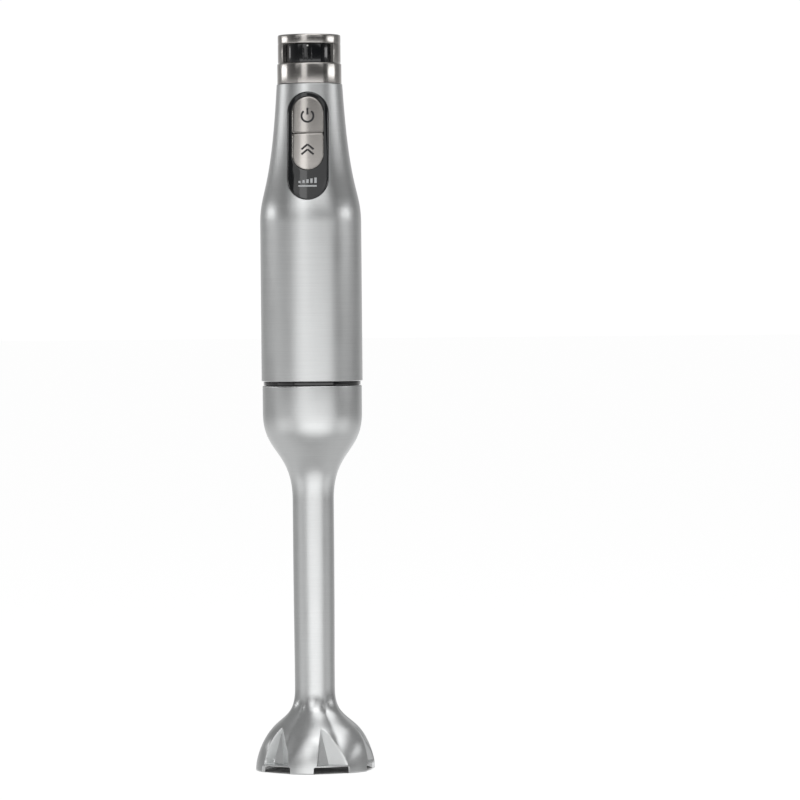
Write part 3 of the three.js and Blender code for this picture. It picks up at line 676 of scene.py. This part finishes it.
def make_chevrons():
    """Two chevrons, one over the other. The two arms of each lie at slightly different heights."""
    half, tip, foot, line, apart = 3.4, 1.6, 1.2, 1.1, 0.002
    shapes = []
    for rise in (-1.5, 1.3):
        for side in (-1, 1):
            start = (0, CHEVRON_Z + rise + tip)
            end = (side * half, CHEVRON_Z + rise - foot)
            shapes.append(ribbon(dense(start, end), line, KEY_LIFT + INK_LIFT + apart * side))
    make_piece("chevron_mark", *merged(shapes), "turbo_key", BLACK_INK)


def make_label():
    """Rising bars and a rule, for the power of the motor."""
    first, spacing, width, shortest, growth = -4.4, 2.2, 1.3, 1.2, 0.45
    rule_half, rule_drop, rule_width = 5.1, 1.6, 0.9
    lift = BEZEL_LIFT + LABEL_INK_LIFT
    shapes = []
    for i in range(5):
        x = first + spacing * i
        shapes.append(ribbon(dense((x, LABEL_Z), (x, LABEL_Z + shortest + growth * i), 3), width, lift))
    rule_z = LABEL_Z - rule_drop
    shapes.append(ribbon(dense((-rule_half, rule_z), (rule_half, rule_z), 12), rule_width, lift))
    make_piece("power_label", *merged(shapes), "handle", GREY_INK)


# ---------------------------------------------------------------- top collar and knob
collar_low, collar_high = extent("top_collar")
cap_low, cap_high = extent("knob_cap")
core_low, core_high = extent("knob_core")
COLLAR_R = collar_high[0]
CAP_R = cap_high[0]
CORE_R = core_high[0]
GRIP_HALF = 36
GRIP_SEAT = CORE_R + 0.2
GRIP_STEPS = 48
SPINDLE_BORE = 3.1


def make_collar():
    """A steel cup turned upside down, with a hole in its top for the knob's spindle."""
    low, high, r = collar_low[2], collar_high[2], COLLAR_R
    hole, under, inner = 3.9, high - 1.2, r - 1.0
    outline = rounded([
        (inner, low), (r, low, 0.2), (r, high, 0.7), (hole, high, 0.2), (hole, under), (inner, under),
    ])
    make_piece("collar", *turned(outline), "handle", MATERIALS["warm_steel"], ["top_collar"], "warm_steel")


def make_cap():
    """The knob's steel disc, with a shallow dish in its top."""
    low, high, r = cap_low[2], cap_high[2], CAP_R
    rim, dish, floor = r - 2.6, r - 2.9, high - 0.35
    outline = rounded([
        (0, low), (r, low, 0.25), (r, high, 0.9), (rim, high, 0.2), (dish, floor, 0.2), (0, floor),
    ])
    make_piece("cap", *turned(outline), "speed_knob", MATERIALS["warm_steel"], ["knob_cap"], "warm_steel")


def make_grip(name, middle):
    """A steel grip: a rounded section swept round the knob."""
    section = rounded([
        (GRIP_SEAT, core_low[2]), (CAP_R, core_low[2], 0.25), (CAP_R, core_high[2], 0.15),
        (GRIP_SEAT, core_high[2]),
    ], steps=3)
    rings = []
    for t in range(GRIP_STEPS + 1):
        angle = math.radians(middle - GRIP_HALF + 2 * GRIP_HALF * t / GRIP_STEPS)
        rings.append([(r * math.cos(angle), r * math.sin(angle), z) for r, z in section])
    points, faces = lofted(rings)
    count = len(section)
    faces.append(tuple(range(count)))
    faces.append(tuple(range(len(points) - count, len(points))))
    piece = make_piece(name + "_skin", points, faces, "speed_knob", MATERIALS["warm_steel"],
                       [name], "warm_steel")
    soften(piece, 0.3, angle=60)


def make_core():
    low, high = core_low[2], core_high[2]
    outline = rounded([
        (SPINDLE_BORE, low), (CORE_R, low, 0.3), (CORE_R, high, 0.2), (SPINDLE_BORE, high),
    ])
    make_piece("core", *turned(outline), "speed_knob", MATERIALS["gloss_black"], ["knob_core"],
               "gloss_black")


RIDGES = (-2.2, 0.0, 2.2)
RIDGE_HALF = 0.42
RIDGE_SEAT = 0.35
RIDGE_RISE = 0.55
RIDGE_END = 0.3
RIDGE_STEPS = 12
DOT_R = 0.45
DOT_DROP = 1.2
DOT_DEPTHS = (-0.2, 0.05)


def make_pointer():
    """Three thumb ridges on the front of the knob, with an index dot above them."""
    low, high = core_low[2] + 1.0, core_high[2] - 2.2
    shapes = []
    stations = ((low, 0.55), (low + RIDGE_END, 1.0), (high - RIDGE_END, 1.0), (high, 0.55))
    for x in RIDGES:
        rings = []
        for z, share in stations:
            ring = []
            for t in range(RIDGE_STEPS + 1):
                a = math.pi * t / RIDGE_STEPS
                side = x + RIDGE_HALF * share * math.cos(a)
                out = CORE_R - RIDGE_SEAT + (RIDGE_SEAT + RIDGE_RISE * share) * math.sin(a) ** 0.8
                ring.append((side, -math.sqrt(out * out - side * side), z))
            rings.append(ring)
        shapes.append(lofted(rings, start=(x, 1 - CORE_R, low), end=(x, 1 - CORE_R, high)))
    make_piece("pointer_ridges", *merged(shapes), "speed_knob", MATERIALS["gloss_black"],
               slot="gloss_black")
    dot_z = core_high[2] - DOT_DROP
    rim = [(DOT_R * math.cos(a), DOT_R * math.sin(a)) for a in np.linspace(0, 2 * math.pi, 25)[:-1]]
    rings = []
    for depth in DOT_DEPTHS:
        out = CORE_R + depth
        rings.append([(x, -math.sqrt(out * out - x * x), dot_z + z) for x, z in rim])
    inner, outer = [(0, -depth - CORE_R, dot_z) for depth in DOT_DEPTHS]
    dot = lofted(rings, start=inner, end=outer)
    make_piece("index_dot", *dot, "speed_knob", WHITE_INK)


# ---------------------------------------------------------------- seam and cord gland
SEAM_INNER_R = 19.5


def make_seam():
    low, high = extent("seam_gasket")
    outline = rounded([
        (SEAM_INNER_R, low[2]), (high[0], low[2], 0.3), (high[0], high[2], 0.3), (SEAM_INNER_R, high[2]),
    ])
    make_piece("seam_ring", *turned(outline), "leg_carrier", MATERIALS["gloss_black"], ["seam_gasket"],
               "gloss_black")


def make_gland():
    low, high = gland_low[1], gland_high[1]
    flange_r, flange_top = GLAND_R + GLAND_FLANGE[0], low + GLAND_FLANGE[1]
    outline = rounded([
        (GLAND_BORE, low), (flange_r, low), (flange_r, flange_top), (GLAND_R, flange_top),
        (GLAND_R, high, 0.8), (GLAND_BORE, high, 0.8),
    ])
    points, faces = turned(outline, 64)
    placed = [(x, z, GLAND_Z - y) for x, y, z in points]
    make_piece("gland", placed, faces, "handle", MATERIALS["rubber"], ["cord_gland"], "rubber")


# ---------------------------------------------------------------- leg
leg_low, leg_high = extent("leg_shell")
foot_high = extent("foot_bell")[1]
LEG_R = leg_high[0]
TUBE_R = 11.5
LEG_CONE = [(199.4, LEG_R), (176.7, LEG_R), (178.3, TUBE_R), (150.8, TUBE_R)]
FOOT_TOP = (leg_low[2] + foot_high[2]) / 2
FOOT_TOP_R = 11.2
TUBE = [(TUBE_R, 120.0), (TUBE_R - 0.1, 90.0), (FOOT_TOP_R, 60.0), (FOOT_TOP_R, FOOT_TOP)]
LEG_SHEET = 1.0


def make_leg():
    cone = bezier(LEG_CONE, 60)
    top = leg_high[2]
    rim = rounded([(LEG_R - LEG_SHEET, top), (LEG_R, top, 0.8), (LEG_R, top - 3)])[:-1]
    inner = [(r - LEG_SHEET, z) for r, z in reversed([*cone, *TUBE])]
    outline = [*rim, *cone, *TUBE, *inner]
    make_piece("leg_skin", *turned(outline), "leg", MATERIALS["satin_steel"], ["leg_shell"], "satin_steel")


# ---------------------------------------------------------------- foot bell
RIBS = 6
SPACING = 360 / RIBS
FOOT_TURN = -10
FIRST_POCKET = -90 + FOOT_TURN + SPACING / 2
BELL = [(46.1, FOOT_TOP_R), (22.0, FOOT_TOP_R), (33.3, 31.6), (0.0, foot_high[1])]
bell_curve = bezier(BELL, 200)
BELL_Z = [z for r, z in reversed(bell_curve)]
BELL_R = [r for r, z in reversed(bell_curve)]
# Each rib is a circle off the axis: how far off as a share of the bell's radius, the heights between which
# the ribs fade into the neck and flatten towards the base, and the share of them that stays at the base.
LOBE = 0.45
LOBE_TOP = (46.0, 32.0)
LOBE_BASE = (2.0, 20.0)
LOBE_LEAST = 0.25
# The valley between two ribs, in degrees off a pocket's middle, and the half width that rounds it.
VALLEY = 10.0
CREASE = 3.0
# The height of the pockets' floors, and how far below and above it their faces set in.
LEDGE = 4.6
LEDGE_BELOW = 0.1
LEDGE_ABOVE = 0.2
# The drain notches, in degrees and millimetres, with the rounding of their upper corners.
NOTCH_HALF = 18.6
NOTCH_HIGH = 3.8
NOTCH_CORNER = 2.2
NOTCH_ROUND = 1.2
NOTCH_SIDE = 0.25
NOTCH_SIDE_SHARE = 0.7
NOTCH_STEPS = (0.0, 0.12, 0.25, 0.4, 0.6, 0.9, 1.3, 1.8)
# A pocket's corners in millimetres: x outwards through its middle, y anticlockwise from it as seen from
# above, z up.
POCKET_APEX = (23.3, -3.5, 22.3)
POCKET_FOLD = (26.0, 0.3, LEDGE)
POCKET_FAR = (30.9, 7.9, LEDGE)
POCKET_NEAR = (26.9, -6.5, LEDGE)
POCKET_EDGE = (30.9, -8.2, LEDGE)


def plane(a, b, c):
    """The plane through three points: its normal, pointing outwards, and its distance from the origin."""
    normal = unit(np.cross(np.subtract(b, a), np.subtract(c, a)))
    if normal[0] < 0:
        normal = -normal
    return normal, float(normal @ np.array(a))


POCKET_PLANES = [
    plane(POCKET_FOLD, POCKET_APEX, POCKET_FAR),
    plane(POCKET_FOLD, POCKET_APEX, POCKET_NEAR),
    plane(POCKET_NEAR, POCKET_APEX, POCKET_EDGE),
]
NO_POCKET = 60.0
EDGE_ON = 0.02
FOLD_SOFTNESS = 0.6
POCKET_TOP = 22.0
RELAX_TOP = 34.0
KNOT_GAP = 1.0
SEARCH_STEP = 0.1
RIB_LEAST = 6
COLUMN_STEP = 0.75


def ease(x, low, high):
    """A smooth step from 0 at low to 1 at high."""
    t = min(1.0, max(0.0, (x - low) / (high - low)))
    return t * t * (3 - 2 * t)


def soft_min(a, b, k):
    """The smaller of two lengths, with their meeting rounded over a length k."""
    h = max(k - abs(a - b), 0.0) / k
    return min(a, b) - h * h * k / 4


def rib_radius(z):
    """The bell's radius at the crest of a rib."""
    return float(np.interp(z, BELL_Z, BELL_R))


def lobed_radius(degrees, z):
    """The ribs' rounded outside: circles off the axis, which meet in a valley beside each pocket."""
    crest = rib_radius(z)
    offset = LOBE * crest * ease(z, *LOBE_TOP) * (LOBE_LEAST + (1 - LOBE_LEAST) * ease(z, *LOBE_BASE))
    away = (degrees - VALLEY + SPACING / 2) % SPACING - SPACING / 2
    turn = math.radians(SPACING / 2 - math.hypot(away, CREASE))
    return offset * math.cos(turn) + math.sqrt((crest - offset) ** 2 - (offset * math.sin(turn)) ** 2)


def pocket_radius(degrees, z):
    """Distance from the axis to the pocket's faces, in a direction off its middle."""
    c, s = math.cos(math.radians(degrees)), math.sin(math.radians(degrees))
    reach = 0.0
    for normal, distance in POCKET_PLANES:
        slope = normal[0] * c + normal[1] * s
        if slope < EDGE_ON:
            return NO_POCKET
        reach = max(reach, (distance - normal[2] * z) / slope)
    return reach


def bell_radius(degrees, z):
    """The bell's outer surface in a direction off the middle of the nearest pocket."""
    outside = lobed_radius(degrees, z)
    inside = pocket_radius(degrees, max(z, LEDGE))
    carved = soft_min(outside, inside, FOLD_SOFTNESS)
    return outside + (carved - outside) * ease(z, LEDGE - LEDGE_BELOW, LEDGE + LEDGE_ABOVE)


def line_turn(a, b, z):
    """Direction, in degrees, of the point at height z on the line from a to b."""
    share = (z - a[2]) / (b[2] - a[2])
    return math.degrees(math.atan2(a[1] + share * (b[1] - a[1]), a[0] + share * (b[0] - a[0])))


def pocket_end(start, step, z):
    """Direction in which the pocket runs out into the ribs' outside, searched from a fold."""
    degrees = start
    while abs(degrees) < SPACING / 2 - RIB_LEAST and pocket_radius(degrees, z) < lobed_radius(degrees, z):
        degrees += step
    return degrees


def pocket_knots(z):
    """Directions, from one side to the other, of a sector's ends and a pocket's edges and folds."""
    level = min(max(z, LEDGE), POCKET_TOP)
    near = line_turn(POCKET_NEAR, POCKET_APEX, level)
    fold = max(line_turn(POCKET_FOLD, POCKET_APEX, level), near + KNOT_GAP)
    left = min(pocket_end(near, -SEARCH_STEP, level), near - KNOT_GAP)
    right = max(pocket_end(fold, SEARCH_STEP, level), fold + KNOT_GAP)
    return np.array([-SPACING / 2, left, near, fold, right, SPACING / 2])


BASE_KNOTS = pocket_knots(LEDGE)


def notch_edge(degrees):
    """Height of the bell's lower edge: zero under a rib, and the notch's roof under a pocket."""
    away = NOTCH_HALF - abs(degrees)
    if away <= 0:
        return 0.0
    if away >= NOTCH_CORNER:
        return NOTCH_HIGH
    if away <= NOTCH_SIDE:
        return NOTCH_HIGH * away / NOTCH_SIDE * NOTCH_SIDE_SHARE
    rise = math.sqrt(1 - (1 - away / NOTCH_CORNER) ** 2)
    return NOTCH_HIGH - NOTCH_ROUND * (1 - rise)


def sector_columns():
    """Directions off a pocket's middle, in degrees, closer together at the notch's ends."""
    plain = [round(-SPACING / 2 + COLUMN_STEP * i, 3) for i in range(round(SPACING / COLUMN_STEP))]
    close = [NOTCH_HALF - d for d in NOTCH_STEPS]
    knots = [float(k) for k in BASE_KNOTS[1:-1]]
    return sorted(set(plain + close + [-c for c in close] + knots))


WARP_TOP = 7.0
BASE_EDGE = 0.5
BASE_INSET = 0.3
SKIRT_R = 31.8
ROOF = 3.9
HUB_R = 8.4
HUB_LOW = 22.0
SEAT_R = 7.0
SEAT_TOP = 40.0
NECK_BORE = 10.2
CAVITY = [(ROOF, 24.8), (16.0, 24.6), (23.5, 22.0), (25.0, HUB_R)]


def make_foot():
    """The bell: rings of its outside from the neck down, then the skirt, the cavity and the neck's bore."""
    outer_z = [*np.linspace(0, BASE_EDGE, 3), *np.linspace(0.8, 8.0, 36), *np.linspace(8.3, 26.0, 62),
               *np.linspace(26.5, FOOT_TOP, 30)]
    inner = [(SKIRT_R, ROOF), *bezier(CAVITY, 16), (HUB_R, HUB_LOW), (SEAT_R, HUB_LOW), (SEAT_R, SEAT_TOP),
             (NECK_BORE, SEAT_TOP), (NECK_BORE, FOOT_TOP)]
    columns = []
    for k in range(RIBS):
        for off in sector_columns():
            columns.append((math.radians(FIRST_POCKET + SPACING * k + off), off))
    rings = []
    for z in reversed(outer_z):
        relaxed = ease(z, POCKET_TOP, RELAX_TOP)
        knots = pocket_knots(z) * (1 - relaxed) + BASE_KNOTS * relaxed
        ring = []
        for angle, off in columns:
            edge = notch_edge(off)
            height = z if z >= WARP_TOP else edge + z * (WARP_TOP - edge) / WARP_TOP
            moved = float(np.interp(off, BASE_KNOTS, knots))
            turn = angle + math.radians(moved - off)
            r = bell_radius(moved, height) - BASE_INSET * ease(z, BASE_EDGE, 0.0)
            ring.append((r * math.cos(turn), r * math.sin(turn), height))
        rings.append(ring)
    rings.append([(SKIRT_R * math.cos(a), SKIRT_R * math.sin(a), notch_edge(off)) for a, off in columns])
    for r, z in inner:
        rings.append([(r * math.cos(a), r * math.sin(a), z) for a, off in columns])
    make_piece("foot_skin", *lofted(rings, closed=True), "leg", MATERIALS["satin_steel"], ["foot_bell"],
               "satin_steel", sharp=55)


make_sleeve()
make_bezel()
make_key("power_button", "power_key", True)
make_key("turbo_button", "turbo_key", False)
make_stem("power_stem", "power_key", POWER_Z)
make_stem("turbo_stem", "turbo_key", CHEVRON_Z)
make_power_mark()
make_chevrons()
make_label()
make_collar()
make_cap()
make_grip("knob_grip_right", 0)
make_grip("knob_grip_left", 180)
make_core()
make_pointer()
make_seam()
make_gland()
make_leg()
make_foot()

# ---------------------------------------------------------------- studio
FLOOR_HALF = 30.0
FLOOR_GLOW = 0.96
# The floor's painted shadow: how far the occlusion looks, and the occlusion levels between which the glow
# goes from none to full.
PAINTED_SHADOW_REACH = 0.03
PAINTED_SHADOW_LEVELS = (0.2, 0.5)
SEEN_WHITE = 1.02
FRONT_DIM = 0.03
# Each step in the brightness that reflections see: the axis it follows (0 to 2 for x to z), the two ends
# between which it changes, and its levels there.
AROUND = (
    (1, (-0.6, 0.0), (0.0, 0.24)),
    (1, (0.66, 0.97), (0.0, 0.5)),
    (0, (-0.9, 0.9), (0.08, 0.0)),
    (2, (-0.3, 0.08), (0.5, 0.0)),
)
# Azimuth in degrees, distance, lowest and highest point, width and radiance of each light.
SOFTBOXES = {
    "front_box": (8, 1.6, 0.0, 0.345, 3.4, 1.25),
    "low_box": (11, 1.6, -1.3, 0.0, 3.0, 0.72),
    "foot_box": (8, 0.4, -0.01, 0.08, 0.45, 0.45),
    "left_fill": (-64, 1.6, -0.6, 0.34, 1.3, 0.4),
    "right_fill": (80, 1.6, -0.6, 0.08, 1.1, 0.35),
    "middle_box": (4, 1.5, 0.68, 1.2, 3.6, 0.8),
    "upper_box": (4, 1.5, 1.2, 3.2, 3.0, 1.0),
    "left_strip": (-99, 1.2, 0.405, 0.53, 0.62, 2.7),
    "centre_strip": (-15, 1.5, 0.39, 1.3, 0.5, 1.1),
    "right_strip": (90, 1.2, 0.405, 0.53, 0.66, 2.8),
}
TOP_LIGHT = (0.5, -0.5, 1.6)
TOP_SIZE = (1.4, 1.7)
TOP_RADIANCE = 1.2


def make_floor():
    """A white table that glows evenly, with a painted shadow: ambient occlusion dims its glow where the
    object covers it.
    """
    mesh = bpy.data.meshes.new("floor")
    corners = [(x * FLOOR_HALF, y * FLOOR_HALF, 0) for x, y in ((-1, -1), (1, -1), (1, 1), (-1, 1))]
    mesh.from_pydata(corners, [], [(0, 1, 2, 3)])
    material = bpy.data.materials.new("floor")
    material.use_nodes = True
    tree = material.node_tree
    shader = tree.nodes["Principled BSDF"]
    shader.inputs["Base Color"].default_value = (0.12, 0.12, 0.12, 1)
    shader.inputs["Roughness"].default_value = 0.9
    shader.inputs["Specular IOR Level"].default_value = 0.0
    shader.inputs["Emission Color"].default_value = (1, 1, 1, 1)
    # Painted shadow: the glow fades where ambient occlusion finds the object close, under and inside the
    # bell.
    painted_shadow_occlusion = tree.nodes.new("ShaderNodeAmbientOcclusion")
    painted_shadow_occlusion.inputs["Distance"].default_value = PAINTED_SHADOW_REACH
    glow_less_painted_shadow = map_range(tree, painted_shadow_occlusion.outputs["AO"], PAINTED_SHADOW_LEVELS, (0.0, FLOOR_GLOW))
    tree.links.new(glow_less_painted_shadow, shader.inputs["Emission Strength"])
    mesh.materials.append(material)
    floor = add_object("floor", mesh)
    floor.visible_glossy = False
    floor.visible_diffuse = False
    floor.visible_shadow = False


def make_world():
    """White all round for the eye, and for reflections bright behind the object and dim in front."""
    world = bpy.data.worlds.new("studio")
    bpy.context.scene.world = world
    world.use_nodes = True
    tree = world.node_tree
    tree.nodes.clear()
    out = tree.nodes.new("ShaderNodeOutputWorld")
    seen = tree.nodes.new("ShaderNodeBackground")
    seen.inputs["Color"].default_value = (1, 1, 1, 1)
    seen.inputs["Strength"].default_value = SEEN_WHITE
    light = tree.nodes.new("ShaderNodeBackground")
    place = tree.nodes.new("ShaderNodeTexCoord")
    apart = tree.nodes.new("ShaderNodeSeparateXYZ")
    tree.links.new(place.outputs["Generated"], apart.inputs[0])
    total = FRONT_DIM
    for axis, ends, levels in AROUND:
        step = map_range(tree, apart.outputs[axis], ends, levels, "SMOOTHSTEP")
        total = math_node(tree, "ADD", step, total)
    tree.links.new(total, light.inputs["Strength"])
    path = tree.nodes.new("ShaderNodeLightPath")
    mix = tree.nodes.new("ShaderNodeMixShader")
    tree.links.new(path.outputs["Is Camera Ray"], mix.inputs[0])
    tree.links.new(light.outputs[0], mix.inputs[1])
    tree.links.new(seen.outputs[0], mix.inputs[2])
    tree.links.new(mix.outputs[0], out.inputs["Surface"])


def add_area_light(name, width, height, radiance, place, turn=(0, 0, 0)):
    """A rectangular light of a given radiance, which the camera doesn't see."""
    lamp = bpy.data.lights.new(name, "AREA")
    lamp.shape = "RECTANGLE"
    lamp.size = width
    lamp.size_y = height
    lamp.energy = radiance * math.pi * lamp.size * lamp.size_y
    light = add_object(name, lamp)
    light.location = place
    light.rotation_euler = turn
    light.visible_camera = False


def add_softbox(name, azimuth, distance, low, high, width, radiance):
    """An upright area light facing the axis. Azimuth 0 is in front of the panel and 90 is to its right."""
    turn = math.radians(azimuth)
    place = (distance * math.sin(turn), -distance * math.cos(turn), (low + high) / 2)
    add_area_light(name, width, high - low, radiance, place, (math.pi / 2, 0, turn))


def make_camera():
    lens, distance, azimuth = 211.0, 2.62, math.radians(3.6)
    eye_height, aim_side, aim_height, roll = 0.262, 0.049, 0.206, math.radians(0.5)
    camera = add_object("camera", bpy.data.cameras.new("camera"))
    camera.data.lens = lens
    camera.data.sensor_width = 36.0
    back = Vector((math.sin(azimuth), -math.cos(azimuth), 0))
    right = Vector((math.cos(azimuth), math.sin(azimuth), 0))
    camera.location = back * distance + Vector((0, 0, eye_height))
    aim = right * aim_side + Vector((0, 0, aim_height))
    facing = (aim - camera.location).to_track_quat("-Z", "Y").to_matrix().to_4x4()
    camera.matrix_world = Matrix.Translation(camera.location) @ facing @ Matrix.Rotation(-roll, 4, "Z")
    bpy.context.scene.camera = camera


make_floor()
make_world()
for softbox, settings in SOFTBOXES.items():
    add_softbox(softbox, *settings)
add_area_light("top_light", *TOP_SIZE, TOP_RADIANCE, TOP_LIGHT)
make_camera()
bpy.context.scene.view_settings.view_transform = "Standard"
